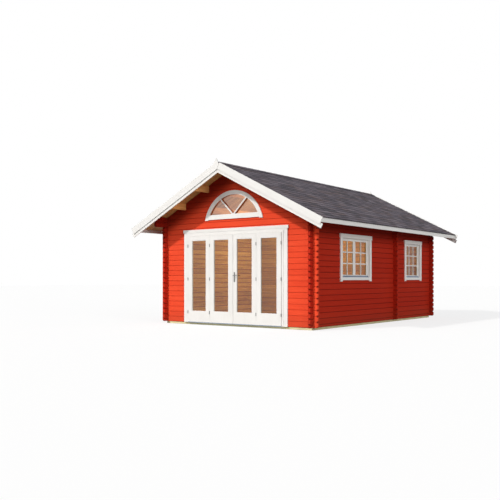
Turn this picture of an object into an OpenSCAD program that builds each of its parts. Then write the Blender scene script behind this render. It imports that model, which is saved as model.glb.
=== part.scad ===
// Log cabin with a folding glass door in its gable, an arched window above the door
// and two windows in its right wall. The front faces -Y, the ground is at Z = 0 and
// the origin is under the middle of the cabin.

/* [Walls] */
// Width between the outer faces of the side walls
cabin_w = 4150; // [3900:10:4600]
// Length between the outer faces of the front and rear walls
cabin_d = 6100; // [5900:10:7000]
// Thickness of a log
log_t = 58; // [50:1:64]
// Cover height of a log
log_h = 121; // [114:1:128]
// Bevel along the edges of a log
log_bevel = 6; // [4:0.5:11]
// Width of a tongue along the top of a log
tongue_w = 9; // [6:0.5:10]
// Height of a tongue along the top of a log
tongue_h = 8; // [5:0.5:12]
// Run of the log ends past a crossing wall
log_end = 110; // [90:1:140]
// Bevel on the top and bottom edges of the log ends past a crossing wall
end_bevel = 27; // [10:1:28]
// Courses of the front, rear and inner walls up to the eaves
eaves_courses = 20; // [19:1:22]
// Top courses of a side wall that run out as brackets
bracket_courses = 2; // [1:1:3]
// Run of the brackets past the front and rear walls
bracket_run = 395; // [250:5:480]
// Radius at the foot of a bracket
bracket_r = 60; // [20:1:100]
// From the front face to the inner wall that parts the two rooms
inner_wall_at = 3778; // [3000:1:4100]
// Width of the doorway through the inner wall
inner_door_w = 850; // [700:10:1000]
// Height of the doorway through the inner wall
inner_door_h = 1936; // [1800:1:2050]
// Gap between pieces that seat on each other
fit = 0.4; // [0.2:0.1:0.8]

/* [Base and floor] */
// Height of the base beams
base_h = 50; // [40:1:80]
// Width of the base beams
base_w = 92; // [80:1:120]
// Base beams set back from the outer wall faces
base_set = 22; // [10:1:30]
// Width of a floor joist
joist_w = 44; // [35:1:70]
// Widest distance between floor joists
joist_step = 560; // [400:10:700]
// Thickness of the floor boards
floor_t = 19; // [16:1:28]
// Gap round the floor
floor_gap = 5; // [2:1:10]

/* [Roof] */
// Pitch of the roof
pitch = 27; // [22:0.5:30]
// Overhang of the eaves past the side walls
eaves_out = 494; // [430:1:650]
// Overhang of the verges past the front and rear walls
verge_out = 581; // [500:1:650]
// Thickness of the roof boards
roof_t = 19; // [16:1:28]
// Depth of the shingles at the butt of a course
shingle_t = 14; // [8:0.5:18]
// Step at the butt of a shingle course
shingle_step = 6; // [3:0.5:7]
// Length of a shingle course that shows
shingle_show = 145; // [120:1:180]
// Shingles past the eaves board
shingle_drip = 14; // [6:1:25]
// Length of each side of the ridge cap
ridge_wing = 125; // [90:1:160]
// Thickness of the ridge cap
ridge_t = 5; // [3:0.5:8]
// Width of a purlin
purlin_w = 58; // [44:1:80]
// Height of a purlin on its ridge side
purlin_h = 155; // [140:1:180]
// From the ridge to the ridge side of each purlin
purlin_at = [716, 1424]; // [0:1:1900]

/* [Bargeboards and eaves boards] */
// Width of an upper bargeboard
barge_w = 149; // [135:1:190]
// Thickness of a bargeboard
barge_t = 19; // [15:1:25]
// Upper bargeboard above the shingles
barge_rise = 12; // [6:1:45]
// Upper bargeboard past the eaves board, at its top corner
barge_past = 81; // [20:1:110]
// Left bargeboard past the ridge line, at its top corner
barge_horn = 10; // [0:1:25]
// Height of the horn on the ridge end of the left bargeboard
horn_h = 66; // [20:1:70]
// Length of that horn along the bargeboard
horn_run = 150; // [80:1:220]
// Open joint between the bargeboards at the ridge
barge_joint = 8; // [2:0.5:12]
// Lower bargeboard that shows below the upper one
strip_show = 65; // [45:1:75]
// Width of a lower bargeboard
strip_w = 92; // [80:1:120]
// Lower bargeboard longer than the upper one
strip_longer = 48; // [20:1:90]
// Height of an eaves board
eaves_board_h = 95; // [80:1:120]
// Thickness of an eaves board
eaves_board_t = 18; // [15:1:25]

/* [Door] */
// Width of one door leaf
leaf_w = 655; // [600:1:690]
// Height of a door leaf
leaf_h = 1984; // [1900:1:2010]
// Thickness of a door leaf
leaf_t = 44; // [40:1:50]
// Width of a leaf's side members
leaf_stile = 123; // [100:1:150]
// Height of a leaf's top member
leaf_top = 112; // [90:1:140]
// Height of a leaf's bottom member
leaf_bottom = 256; // [200:1:320]
// Door frame past the wall face
door_out = 32; // [20:1:40]
// Door leaves past the frame
leaf_out = 14; // [8:1:20]
// Gap round each leaf
leaf_gap = 3; // [2:0.5:4]
// Width of the door frame's posts
door_post = 70; // [55:1:80]
// Height of the door frame's head
door_head = 47; // [40:1:60]
// Thickness of the door sill
sill_t = 12; // [8:1:16]
// Grooves along the door sill
sill_grooves = 5; // [3:1:6]
// Depth of the grooves along the door sill
sill_groove_d = 3; // [1:0.5:5]
// Width of the rail on the sill that the leaves run on
rail_w = 8; // [5:1:12]
// Depth of the glass's groove
glass_in = 12; // [8:1:16]
// Bevel round the panes of the leaves and sashes
pane_bevel = 7; // [4:0.5:9]
// Thickness of the door glass
door_glass_t = 20; // [14:1:24]
// Gap over the frames for the walls to settle
settle_gap = 8; // [3:1:12]
// Width of the door casing
door_casing_w = 100; // [85:1:120]
// Door frame that shows inside the casing
door_reveal = 41; // [30:1:50]
// Thickness of the door casing
door_casing_t = 24; // [18:1:30]
// Height of the board over the door
door_head_h = 36; // [25:1:50]
// Height of the capping board on top of that board
door_cap_h = 70; // [55:1:85]
// Capping board past the casing
door_ear = 24; // [10:1:40]
// Thickness of the capping board
door_cap_t = 30; // [26:1:40]
// Width of the strip over the meeting stiles
meet_w = 40; // [30:1:60]
// Thickness of the strip over the meeting stiles
meet_t = 12; // [8:1:16]
// From each end of a leaf to its end hinges
hinge_at = 225; // [150:1:300]
// Length of a hinge
hinge_h = 72; // [55:1:100]
// Radius of a hinge knuckle
hinge_r = 7; // [5:0.5:9]
// Depth of the joint between the knuckles of a hinge
hinge_joint = 1; // [0.5:0.1:1.5]
// Height of the handle plate's middle above the logs' underside
handle_at = 1050; // [900:1:1200]
// Height of the handle plate
handle_plate_h = 223; // [180:1:250]
// Width of the handle plate
handle_plate_w = 32; // [26:1:40]
// Thickness of the handle plate
handle_plate_t = 7; // [5:1:9]
// Radius of the collar round the lever's neck
collar_r = 12; // [10:0.5:14]
// Height of the lock cylinder
lock_h = 32; // [28:1:35]
// Reach of the collar and the lock cylinder from the plate
collar_t = 4; // [2:0.5:6]
// Length of the handle lever
lever_l = 95; // [85:1:130]
// Radius of the handle lever
lever_r = 8; // [6:0.5:10]
// Reach of the lever from the plate
lever_out = 46; // [38:1:55]

/* [Arched window] */
// Height of the arch's centre above the door frame's opening
arch_at = 146; // [120:1:175]
// Radius of the glass that shows
arch_r = 750; // [700:1:770]
// Bottom of the glass that shows, above the arch's centre
arch_sill = 314; // [300:1:335]
// Thickness of the arched frame
arch_frame_w = 45; // [35:1:55]
// Width of the arched casing
arch_casing_w = 90; // [75:1:100]
// Height of the casing's bottom board
arch_board_h = 105; // [95:1:115]
// Ends of the arched casing below that board
arch_foot = 16; // [8:1:24]
// Thickness of the arched casing
arch_casing_t = 24; // [18:1:30]

/* [Side windows] */
// Inner edge of the windows' bottom casing above the logs' underside
window_sill = 1046; // [1000:1:1100]
// Height between the windows' casings
window_h = 869; // [800:1:880]
// From the front face to the middle of the twin window
twin_at = 1840; // [1600:1:1950]
// Width between the casings of the twin window
twin_w = 1281; // [1100:1:1400]
// From the front face to the middle of the single window
single_at = 4952; // [4900:1:5100]
// Width between the casings of the single window
single_w = 873; // [800:1:900]
// Thickness of the window frames' boards
window_frame_t = 22; // [18:1:28]
// Depth of the window frames
window_frame_d = 80; // [76:1:100]
// Window sashes behind the wall face
sash_back = 40; // [30:1:42]
// Thickness of a window sash
sash_t = 36; // [30:1:40]
// Width of the sash members
sash_w = 55; // [45:1:65]
// Gap beside and over a sash
sash_gap = 2; // [1:0.5:4]
// Thickness of the window glass
window_glass_t = 16; // [10:1:18]
// Width of the window casings
window_casing_w = 90; // [75:1:105]
// Height of the windows' bottom casing
window_board_h = 63; // [50:1:80]
// Side casings below the bottom casing
window_foot = 28; // [15:1:40]
// Board over a window past the casing
window_ear = 15; // [8:1:25]
// Thickness of the window casings
window_casing_t = 22; // [16:1:28]
// Thickness of the board over a window
window_head_t = 28; // [24:1:36]
// Height of the weather bar on a sash
bar_h = 38; // [25:1:45]
// Reach of the weather bar from a sash
bar_out = 26; // [16:1:30]

/* [Hidden] */
$fn = 48;
arch_fn = 180;
half_w = cabin_w / 2;
half_d = cabin_d / 2;
front_y = -half_d;
rear_y = half_d - log_t;
inner_y = front_y + inner_wall_at;
door_y = front_y - door_out;
leaf_y = door_y - leaf_out;
tongue_at = [log_t / 2 - log_t / 6, log_t / 2 + log_t / 6];
groove_w = tongue_w + 2 * fit;
groove_d = tongue_h + 2 * fit;
door_w = 4 * leaf_w + 5 * leaf_gap;
door_z0 = base_h + sill_t + leaf_gap + fit;
door_head_z = door_z0 + leaf_h + leaf_gap;
door_cut_w = door_w + 2 * door_post + 2 * fit;
door_cut_z = door_head_z + door_head + settle_gap;
door_courses = floor((door_cut_z - base_h + fit) / log_h);
wall_courses = max(eaves_courses, door_courses + 1);
door_casing_in = door_w / 2 + door_reveal;
door_casing_out = door_casing_in + door_casing_w;
door_board_z = door_head_z + door_reveal;
door_cap_z = door_board_z + door_head_h;
inner_courses = floor((inner_door_h + fit) / log_h);

plate_z = base_h + log_h / 2 + wall_courses * log_h;
roof_v = roof_t / cos(pitch);
shingle_v = shingle_t / cos(pitch);
eaves_x = half_w + eaves_out;
verge_y = half_d + verge_out;
roof_end_y = verge_y - barge_t - fit;
purlin_end_y = verge_y - 2 * barge_t - 2 * fit;
gable_courses = ceil((under(0) - course_z(wall_courses)) / log_h);

arch_z = door_head_z + arch_at;
arch_sill_z = arch_z + arch_sill;
arch_cut_r = arch_r + arch_frame_w + fit;
arch_casing_r = arch_r + arch_casing_w;
arch_glass_y = front_y + (log_t - window_glass_t) / 2;
window_z0 = base_h + window_sill;
window_z1 = window_z0 + window_h;

red_paint = "#d8432c";
white_paint = "#f3f1ec";
pine = "#c58f55";
treated = "#bdb477";
slate = "#56525a";
steel = "#8d9094";
pane = "#b9c4c6";

// Underside of the roof boards, at a distance from the ridge
function under(x) = plate_z - (abs(x) - half_w + log_t) * tan(pitch);

// Top of the shingles, at a distance from the ridge
function roof_top(x) = under(x) + roof_v + shingle_v;

// Underside of a course of the walls that start with a whole log
function course_z(n) = base_h + n * log_h;

// Underside of a course of the side walls, which start with half a log
function side_z(k) = base_h + (k - 0.5) * log_h;

// Section of a log, with bevelled edges, grooves below and tongues on top
function log_section(h, grooved) = concat(
    [[log_bevel, fit]],
    grooved ? [for (u = tongue_at) each [
        [u - groove_w / 2, fit], [u - groove_w / 2, groove_d],
        [u + groove_w / 2, groove_d], [u + groove_w / 2, fit]]] : [],
    [[log_t - log_bevel, fit], [log_t, fit + log_bevel], [log_t, h - log_bevel], [log_t - log_bevel, h]],
    [for (u = [tongue_at[1], tongue_at[0]]) each [
        [u + tongue_w / 2, h], [u + tongue_w / 2, h + tongue_h],
        [u - tongue_w / 2, h + tongue_h], [u - tongue_w / 2, h]]],
    [[log_bevel, h], [0, h - log_bevel], [0, fit + log_bevel]]);

// Box between two corners
module block(low, high) {
    translate(low) cube(high - low);
}

// Extrudes an outline drawn in X and Z from one Y to another
module along_y(y0, y1) {
    translate([0, y1, 0]) rotate([90, 0, 0]) linear_extrude(y1 - y0) children();
}

// Extrudes an outline drawn in Y and Z from one X to another
module along_x(x0, x1) {
    translate([x0, 0, 0]) rotate([90, 0, 90]) linear_extrude(x1 - x0) children();
}

// Room under the roof boards, which trims the tops of the walls
module under_roof() {
    reach = half_w + log_end + log_t;
    along_y(-verge_y, verge_y) polygon([
        [-reach, 0], [reach, 0], [reach, under(reach) - fit],
        [0, under(0) - fit], [-reach, under(reach) - fit]]);
}

// Cuts of a notched crossing in a log whose underside is at z, centred on x and y
module crossing(x, y, z, below = true, above = true) {
    h = log_t / 2 + fit;
    if (below) block([x - h, y - h, z - fit], [x + h, y + h, z + log_h / 4 + fit]);
    if (above) block([x - h, y - h, z + log_h * 3 / 4], [x + h, y + h, z + log_h + tongue_h + fit]);
}

// Cuts the top and bottom edges off the end of a log of height h that runs along X and ends at X = 0
module end_cut(h) {
    top = h + tongue_h + fit;
    along_y(-fit, log_t + fit) {
        polygon([[-end_bevel - fit, -fit], [fit, -fit], [fit, end_bevel + fit]]);
        polygon([[fit, h - end_bevel - fit], [fit, top], [h - end_bevel - top, top]]);
    }
}

// Log of a wall whose front face is at y
module cross_log(n, x0, x1, y) {
    z = course_z(n);
    along_x(x0, x1) translate([y, z]) polygon(log_section(log_h, n > 0));
}

// Log of a wall across the cabin, notched over both side walls
module notched_log(n, x0, x1, y) {
    difference() {
        cross_log(n, x0, x1, y);
        for (s = [-1, 1])
            if (s * (s > 0 ? x1 : x0) > half_w - log_t) {
                crossing(s * (half_w - log_t / 2), y + log_t / 2, course_z(n));
                translate([s > 0 ? x1 : x0, y, course_z(n)]) mirror([s < 0 ? 1 : 0, 0, 0]) end_cut(log_h);
            }
    }
}

// Courses of a wall across the cabin, from end to end
module cross_wall(first, last, y) {
    reach = half_w + log_end;
    for (n = [first:last])
        if (n < wall_courses - 1) notched_log(n, -reach, reach, y);
        else intersection() {
            notched_log(n, -reach, reach, y);
            under_roof();
        }
}

// Courses of a gable between the side walls, cut round the purlins
module gable(y) {
    reach = half_w - log_t - fit;
    for (n = [wall_courses:wall_courses + gable_courses - 1])
        difference() {
            intersection() {
                cross_log(n, -reach, reach, y);
                under_roof();
            }
            purlin_bars(fit);
        }
}

// Log of a side wall whose left face is at x
module side_log(k, x) {
    z = side_z(k);
    half = k == 0;
    plate = k == wall_courses;
    bracket = k > wall_courses - bracket_courses;
    reach = half_d + (bracket ? bracket_run : log_end);
    low = half ? base_h : z;
    h = half ? log_h / 2 : log_h;
    difference() {
        along_y(-reach, reach) translate([x, low]) polygon(log_section(h, !half));
        if (!bracket) for (s = [0, 1])
            mirror([0, s, 0]) translate([x, -reach, low]) rotate([0, 0, -90]) end_cut(h);
        for (y = [front_y, inner_y, rear_y])
            crossing(x + log_t / 2, y + log_t / 2, z, !half, !plate);
    }
}

// Round foot of a bracket, cut from the lowest course that runs out
module bracket_foot(x) {
    z = side_z(wall_courses - bracket_courses + 1);
    for (s = [-1, 1])
        difference() {
            y0 = s * (half_d + bracket_run);
            y1 = s * (half_d + bracket_run - bracket_r);
            block([x - fit, min(y0 + s * fit, y1), z - fit],
                  [x + log_t + fit, max(y0 + s * fit, y1), z + bracket_r]);
            translate([x - fit, y1, z + bracket_r]) rotate([0, 90, 0])
                cylinder(r = bracket_r, h = log_t + 2 * fit);
        }
}

// Side wall whose left face is at x
module side_wall(x) {
    for (k = [0:wall_courses - bracket_courses]) side_log(k, x);
    difference() {
        side_log(wall_courses - bracket_courses + 1, x);
        bracket_foot(x);
    }
    if (bracket_courses > 1) for (k = [wall_courses - bracket_courses + 2:wall_courses])
        intersection() {
            side_log(k, x);
            under_roof();
        }
}

// Purlins and ridge beam, grown by a gap where they cut through a gable
module purlin_bars(gap) {
    end = purlin_end_y;
    rise = gap > 0 ? log_h : -fit;
    for (s = [-1, 1], x = purlin_at) {
        low = under(x) - purlin_h - gap;
        along_y(-end, end) polygon([
            [s * (x - gap), low], [s * (x + purlin_w + gap), low],
            [s * (x + purlin_w + gap), under(x + purlin_w) + rise], [s * (x - gap), under(x) + rise]]);
    }
    side = purlin_w / 2 + gap;
    foot = under(0) - purlin_h - gap;
    along_y(-end, end) polygon([
        [-side, foot], [side, foot], [side, under(purlin_w / 2) + rise], [0, under(0) + rise],
        [-side, under(purlin_w / 2) + rise]]);
}

// Opening of the folding door
module door_cut() {
    block([-door_cut_w / 2, front_y - log_t, 0], [door_cut_w / 2, front_y + 2 * log_t, door_cut_z]);
}

// Opening of the arched window: a disc cut off at its sill, grown from the glass that shows
module arch_pane(grow, y0, y1) {
    r = arch_r + grow;
    intersection() {
        along_y(y0, y1) translate([0, arch_z]) circle(r = r, $fn = arch_fn);
        block([-r, y0 - fit, arch_sill_z - grow], [r, y1 + fit, arch_z + r + fit]);
    }
}

// Opening of a side window
module window_cut(at, w) {
    grow = window_frame_t + fit;
    block([half_w - 2 * log_t, front_y + at - w / 2 - grow, window_z0 - grow],
          [half_w + log_t, front_y + at + w / 2 + grow, window_z1 + window_frame_t + settle_gap]);
}

// Opening of the inner doorway up to a height
module inner_cut(z) {
    block([-inner_door_w / 2, inner_y - log_t, 0], [inner_door_w / 2, inner_y + 2 * log_t, z]);
}

module base_frame() color(treated) {
    x1 = half_w - base_set;
    y1 = half_d - base_set;
    for (s = [-1, 1]) {
        block([-x1, min(s * y1, s * (y1 - base_w)), 0], [x1, max(s * y1, s * (y1 - base_w)), base_h]);
        block([min(s * x1, s * (x1 - base_w)), -y1 + base_w + fit, 0],
              [max(s * x1, s * (x1 - base_w)), y1 - base_w - fit, base_h]);
    }
    bay = x1 - base_w - fit;
    mid = inner_y + log_t / 2;
    block([-bay, mid - base_w / 2, 0], [bay, mid + base_w / 2, base_h]);
    for (room = [[-y1 + base_w, mid - base_w / 2], [mid + base_w / 2, y1 - base_w]]) {
        joists = ceil((room[1] - room[0]) / joist_step) - 1;
        for (i = [1:joists]) {
            y = room[0] + (room[1] - room[0]) * i / (joists + 1);
            block([-bay, y - joist_w / 2, 0], [bay, y + joist_w / 2, base_h]);
        }
    }
}

module floor_deck() color(pine) {
    x1 = half_w - log_t - floor_gap;
    for (room = [[front_y + log_t, inner_y], [inner_y + log_t, rear_y]])
        block([-x1, room[0] + floor_gap, base_h + fit], [x1, room[1] - floor_gap, base_h + fit + floor_t]);
}

module front_wall_side(s) {
    reach = half_w + log_end;
    post = door_cut_w / 2;
    for (n = [0:door_courses - 1]) notched_log(n, s < 0 ? -reach : post, s < 0 ? -post : reach, front_y);
}

module front_wall_left() color(red_paint) front_wall_side(-1);

module front_wall_right() color(red_paint) front_wall_side(1);

module front_gable() color(red_paint) difference() {
    union() {
        cross_wall(door_courses, wall_courses - 1, front_y);
        gable(front_y);
    }
    door_cut();
    arch_pane(arch_frame_w + fit, front_y - log_t, front_y + 2 * log_t);
}

module left_wall() color(red_paint) side_wall(-half_w);

module right_wall() color(red_paint) difference() {
    side_wall(half_w - log_t);
    window_cut(twin_at, twin_w);
    window_cut(single_at, single_w);
}

module rear_wall() color(red_paint) cross_wall(0, wall_courses - 1, rear_y);

module rear_gable() color(red_paint) gable(rear_y);

module inner_wall() color(red_paint) {
    difference() {
        cross_wall(0, inner_courses - 1, inner_y);
        inner_cut(course_z(inner_courses) + tongue_h + fit);
    }
    difference() {
        cross_wall(inner_courses, wall_courses - 1, inner_y);
        inner_cut(base_h + inner_door_h);
    }
}

module inner_gable() color(red_paint) gable(inner_y);

module purlins() color(pine) purlin_bars(0);

// Boards of one roof slope
module roof_boards(s) {
    x0 = fit / 2;
    x1 = eaves_x - eaves_board_t - fit;
    along_y(-roof_end_y, roof_end_y) polygon([
        [s * x0, under(x0)], [s * x1, under(x1)],
        [s * x1, under(x1) + roof_v], [s * x0, under(x0) + roof_v]]);
}

module roof_boards_left() color(pine) roof_boards(-1);

module roof_boards_right() color(pine) roof_boards(1);

// Stepped courses of shingles on one roof slope
module shingles(s) {
    x0 = fit;
    x1 = eaves_x + shingle_drip;
    run = shingle_show * cos(pitch);
    courses = floor((x1 - x0) / run);
    step_v = shingle_step / cos(pitch);
    bed = roof_v + fit;
    along_y(-roof_end_y, roof_end_y) polygon([
        for (p = concat(
            [[x0, under(x0) + bed], [x1, under(x1) + bed]],
            [for (i = [0:courses - 1]) each [
                [x1 - i * run, roof_top(x1 - i * run)],
                [x1 - (i + 1) * run, roof_top(x1 - (i + 1) * run) - step_v]]],
            [[x1 - courses * run, roof_top(x1 - courses * run)], [x0, roof_top(x0)]]))
        [s * p[0], p[1]]]);
}

module shingles_left() color(slate) shingles(-1);

module shingles_right() color(slate) shingles(1);

module ridge_cap() color(slate) {
    w = ridge_wing * cos(pitch);
    t = ridge_t / cos(pitch) + fit;
    along_y(-roof_end_y, roof_end_y) polygon([
        [-w, roof_top(w) + fit], [0, roof_top(0) + fit], [w, roof_top(w) + fit],
        [w, roof_top(w) + t], [0, roof_top(0) + t], [-w, roof_top(w) + t]]);
}

// Board that lies along the right roof slope: its top edge stands above the shingles by rise,
// and it runs from a top corner at x0 to a top corner at x1
module slope_board(x0, x1, rise, w, y0, y1) {
    top = roof_top(0) + rise / cos(pitch);
    along_y(y0, y1) translate([0, top]) rotate(-pitch)
        translate([x0 / cos(pitch), -w]) square([(x1 - x0) / cos(pitch), w]);
}

// Upper bargeboards of one gable: the left one ends in a horn and is cut against the square end of the
// right one, with an open joint
module upper_bargeboards(y0, y1) {
    end = eaves_x + barge_past;
    start = barge_w * sin(pitch);
    tip = -barge_horn / cos(pitch);
    slope_board(start, end, barge_rise, barge_w, y0, y1);
    difference() {
        mirror([1, 0, 0]) {
            slope_board(-barge_horn, end, barge_rise, barge_w, y0, y1);
            along_y(y0, y1) translate([0, roof_top(0) + barge_rise / cos(pitch)]) rotate(-pitch)
                polygon([[tip, -fit], [horn_run, -fit], [tip, horn_h]]);
        }
        slope_board(start - barge_joint * cos(pitch), end, barge_rise + fit, barge_w + 2 * fit,
                    y0 - fit, y1 + fit);
        block([start, y0 - fit, 0], [end, y1 + fit, roof_top(0) - barge_w]);
    }
}

// Lower bargeboards of one gable, mitred at the ridge
module lower_bargeboards(y0, y1) {
    rise = barge_rise - barge_w - strip_show + strip_w;
    end = eaves_x + barge_past + strip_longer * cos(pitch)
        - (barge_w + strip_show - strip_w) * sin(pitch);
    for (s = [0, 1])
        difference() {
            mirror([s, 0, 0]) slope_board(-strip_w, end, rise, strip_w, y0, y1);
            mirror([s, 0, 0])
                block([-strip_w - end, y0 - fit, 0], [fit / 2, y1 + fit, roof_top(0) + strip_w]);
        }
}

module front_bargeboards() color(white_paint) upper_bargeboards(-verge_y, -verge_y + barge_t);

module rear_bargeboards() color(white_paint) mirror([0, 1, 0])
    upper_bargeboards(-verge_y, -verge_y + barge_t);

module front_lower_bargeboards() color(white_paint)
    lower_bargeboards(-verge_y + barge_t + fit, -purlin_end_y - fit);

module rear_lower_bargeboards() color(white_paint) mirror([0, 1, 0])
    lower_bargeboards(-verge_y + barge_t + fit, -purlin_end_y - fit);

module eaves_boards() color(white_paint) {
    top = under(eaves_x) + roof_v;
    foot = top - eaves_board_h;
    x0 = eaves_x - eaves_board_t;
    strip_top = roof_top(x0) + (barge_rise - barge_w - strip_show + strip_w) / cos(pitch) + fit;
    for (s = [0, 1]) mirror([s, 0, 0]) {
        block([x0, -purlin_end_y, foot], [eaves_x, purlin_end_y, top]);
        block([x0, -roof_end_y, max(foot, strip_top)], [eaves_x, roof_end_y, top]);
    }
}

module door_frame() color(white_paint) difference() {
    x1 = door_w / 2 + door_post;
    x2 = door_casing_in - fit;
    union() {
        block([-x1, front_y, base_h + fit], [x1, front_y + log_t, door_head_z + door_head]);
        block([-x2, door_y, base_h + fit], [x2, front_y + log_t, door_board_z - fit]);
    }
    block([-door_w / 2, door_y - fit, 0], [door_w / 2, front_y + log_t + fit, door_head_z]);
}

module door_sill() color(steel) {
    depth = front_y + log_t - leaf_y;
    rib = depth / (2 * sill_grooves + 1);
    low = sill_t - sill_groove_d;
    along_x(-door_w / 2 + fit, door_w / 2 - fit) translate([leaf_y, base_h + fit]) polygon(concat(
        [[0, 0], [depth, 0], [depth, sill_t]],
        [for (i = [sill_grooves:-1:1]) each [
            [2 * i * rib, sill_t], [2 * i * rib, low],
            [(2 * i - 1) * rib, low], [(2 * i - 1) * rib, sill_t]]],
        [[0, sill_t]]));
    block([-door_w / 2 + fit, leaf_y + (leaf_t - rail_w) / 2, base_h + fit + low / 2],
          [door_w / 2 - fit, leaf_y + (leaf_t + rail_w) / 2, door_z0 - fit]);
}

// Opening through a board that lies across the axis along, with bevelled edges on both faces
module pane_opening(low, high, along) {
    side = ([1, 1, 1] - along) * pane_bevel;
    function mask(v, m) = [v[0] * m[0], v[1] * m[1], v[2] * m[2]];
    across = mask(high - low, [1, 1, 1] - along);
    block(low - fit * along, high + fit * along);
    hull() {
        block(low - side - fit * along, low + across + side);
        block(low, low + across + pane_bevel * along);
    }
    hull() {
        block(high - across - side, high + side + fit * along);
        block(high - across - pane_bevel * along, high);
    }
}

// Left edge of a door leaf
function leaf_x(i) = -door_w / 2 + leaf_gap + (i - 1) * (leaf_w + leaf_gap);

// Pane of a door leaf, grown by a gap
module door_pane(i, gap) {
    y = leaf_y + leaf_t / 2;
    x0 = leaf_x(i) + leaf_stile - glass_in;
    x1 = leaf_x(i) + leaf_w - leaf_stile + glass_in;
    block([x0 - gap, y - door_glass_t / 2 - gap, door_z0 + leaf_bottom - glass_in - gap],
          [x1 + gap, y + door_glass_t / 2 + gap, door_z0 + leaf_h - leaf_top + glass_in + gap]);
}

// Door leaf with a groove for its glass
module door_leaf(i) color(white_paint) {
    x = leaf_x(i);
    difference() {
        block([x, leaf_y, door_z0], [x + leaf_w, leaf_y + leaf_t, door_z0 + leaf_h]);
        pane_opening([x + leaf_stile, leaf_y, door_z0 + leaf_bottom],
                     [x + leaf_w - leaf_stile, leaf_y + leaf_t, door_z0 + leaf_h - leaf_top], [0, 1, 0]);
        door_pane(i, fit);
    }
}

module door_glass() color(pane) for (i = [1:4]) door_pane(i, 0);

module door_meeting_strip() color(white_paint)
    block([-meet_w / 2, leaf_y - fit - meet_t, door_z0], [meet_w / 2, leaf_y - fit, door_z0 + leaf_h]);

// Barrel hinge of two knuckles with a joint between them and a stepped tip at each end
module hinge() {
    tip = hinge_r / 2;
    cylinder(r = hinge_r - hinge_joint, h = hinge_h, center = true);
    for (s = [0, 1]) mirror([0, 0, s])
        translate([0, 0, hinge_joint / 2]) cylinder(r = hinge_r, h = hinge_h / 2 - hinge_joint / 2 - tip);
}

module door_hinges() color(steel)
    for (x = [leaf_x(1), leaf_x(2), leaf_x(4), leaf_x(5)], z = [hinge_at, leaf_h / 2, leaf_h - hinge_at])
        translate([x - leaf_gap / 2, leaf_y - fit - hinge_r, door_z0 + z]) hinge();

// Handle plate with its lever, on the front of the door
module handle() {
    x = leaf_x(3) + leaf_stile / 2;
    z = base_h + handle_at;
    face = leaf_y - fit - handle_plate_t;
    end = (handle_plate_h - handle_plate_w) / 2;
    along_y(face, leaf_y - fit) translate([x, z]) {
        square([handle_plate_w, 2 * end], center = true);
        for (s = [-1, 1]) translate([0, s * end]) circle(r = handle_plate_w / 2);
    }
    lever_z = z + handle_plate_h / 6;
    translate([x, face, lever_z]) rotate([90, 0, 0]) {
        cylinder(r = lever_r, h = lever_out);
        cylinder(r = collar_r, h = collar_t);
    }
    translate([x - lever_r, face - lever_out + lever_r, lever_z]) rotate([0, 90, 0])
        cylinder(r = lever_r, h = lever_l);
    key_r = lock_h / 4;
    along_y(face - collar_t, face) translate([x, z - handle_plate_h / 6]) {
        circle(r = key_r);
        translate([-key_r / 2, key_r - lock_h]) square([key_r, lock_h - key_r]);
    }
}

module door_handles() color(steel) {
    handle();
    translate([0, 2 * leaf_y + leaf_t, 0]) mirror([0, 1, 0]) handle();
}

module door_casing() color(white_paint) {
    face = front_y - fit;
    for (s = [0, 1]) mirror([s, 0, 0])
        block([door_casing_in, face - door_casing_t, base_h], [door_casing_out, face, door_cap_z - fit]);
    x0 = door_casing_in - fit;
    block([-x0, face - door_casing_t, door_board_z], [x0, face, door_cap_z - fit]);
    x1 = door_casing_out + door_ear;
    block([-x1, face - door_cap_t, door_cap_z], [x1, face, door_cap_z + door_cap_h]);
}

module arch_window_frame() color(white_paint) difference() {
    arch_pane(arch_frame_w, front_y, front_y + log_t);
    arch_pane(0, front_y - fit, front_y + log_t + fit);
    arch_pane(glass_in + fit, arch_glass_y - fit, arch_glass_y + window_glass_t + fit);
}

module arch_window_glass() color(pane)
    arch_pane(glass_in, arch_glass_y, arch_glass_y + window_glass_t);

module arch_window_casing() color(white_paint) {
    y0 = front_y - fit - arch_casing_t;
    y1 = front_y - fit;
    low = arch_sill_z - arch_board_h;
    difference() {
        along_y(y0, y1) translate([0, arch_z]) difference() {
            circle(r = arch_casing_r, $fn = arch_fn);
            circle(r = arch_r, $fn = arch_fn);
        }
        block([-arch_casing_r - fit, y0 - fit, 0], [arch_casing_r + fit, y1 + fit, low - arch_foot]);
    }
    intersection() {
        along_y(y0, y1) translate([0, arch_z]) circle(r = arch_r - fit, $fn = arch_fn);
        block([-arch_r, y0, low], [arch_r, y1, arch_sill_z]);
    }
}

// Frame of a side window, as boards round its opening
module window_frame(at, w) {
    x0 = half_w - window_frame_d;
    y0 = front_y + at - w / 2;
    y1 = y0 + w;
    difference() {
        block([x0, y0 - window_frame_t, window_z0 - window_frame_t],
              [half_w, y1 + window_frame_t, window_z1 + window_frame_t]);
        block([x0 - fit, y0, window_z0], [half_w + fit, y1, window_z1]);
    }
}

// Low and high Y of sash i of a window with this many sashes
function sash_y(at, w, sashes, i) =
    let (part = (w - (sashes + 1) * sash_gap) / sashes,
         y0 = front_y + at - w / 2 + sash_gap + i * (part + sash_gap))
    [y0, y0 + part];

// Pane of a window sash, grown by a gap
module sash_pane(y, gap) {
    x = half_w - sash_back - sash_t / 2;
    in = sash_w - glass_in - gap;
    block([x - window_glass_t / 2 - gap, y[0] + in, window_z0 + fit + in],
          [x + window_glass_t / 2 + gap, y[1] - in, window_z1 - sash_gap - in]);
}

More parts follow.
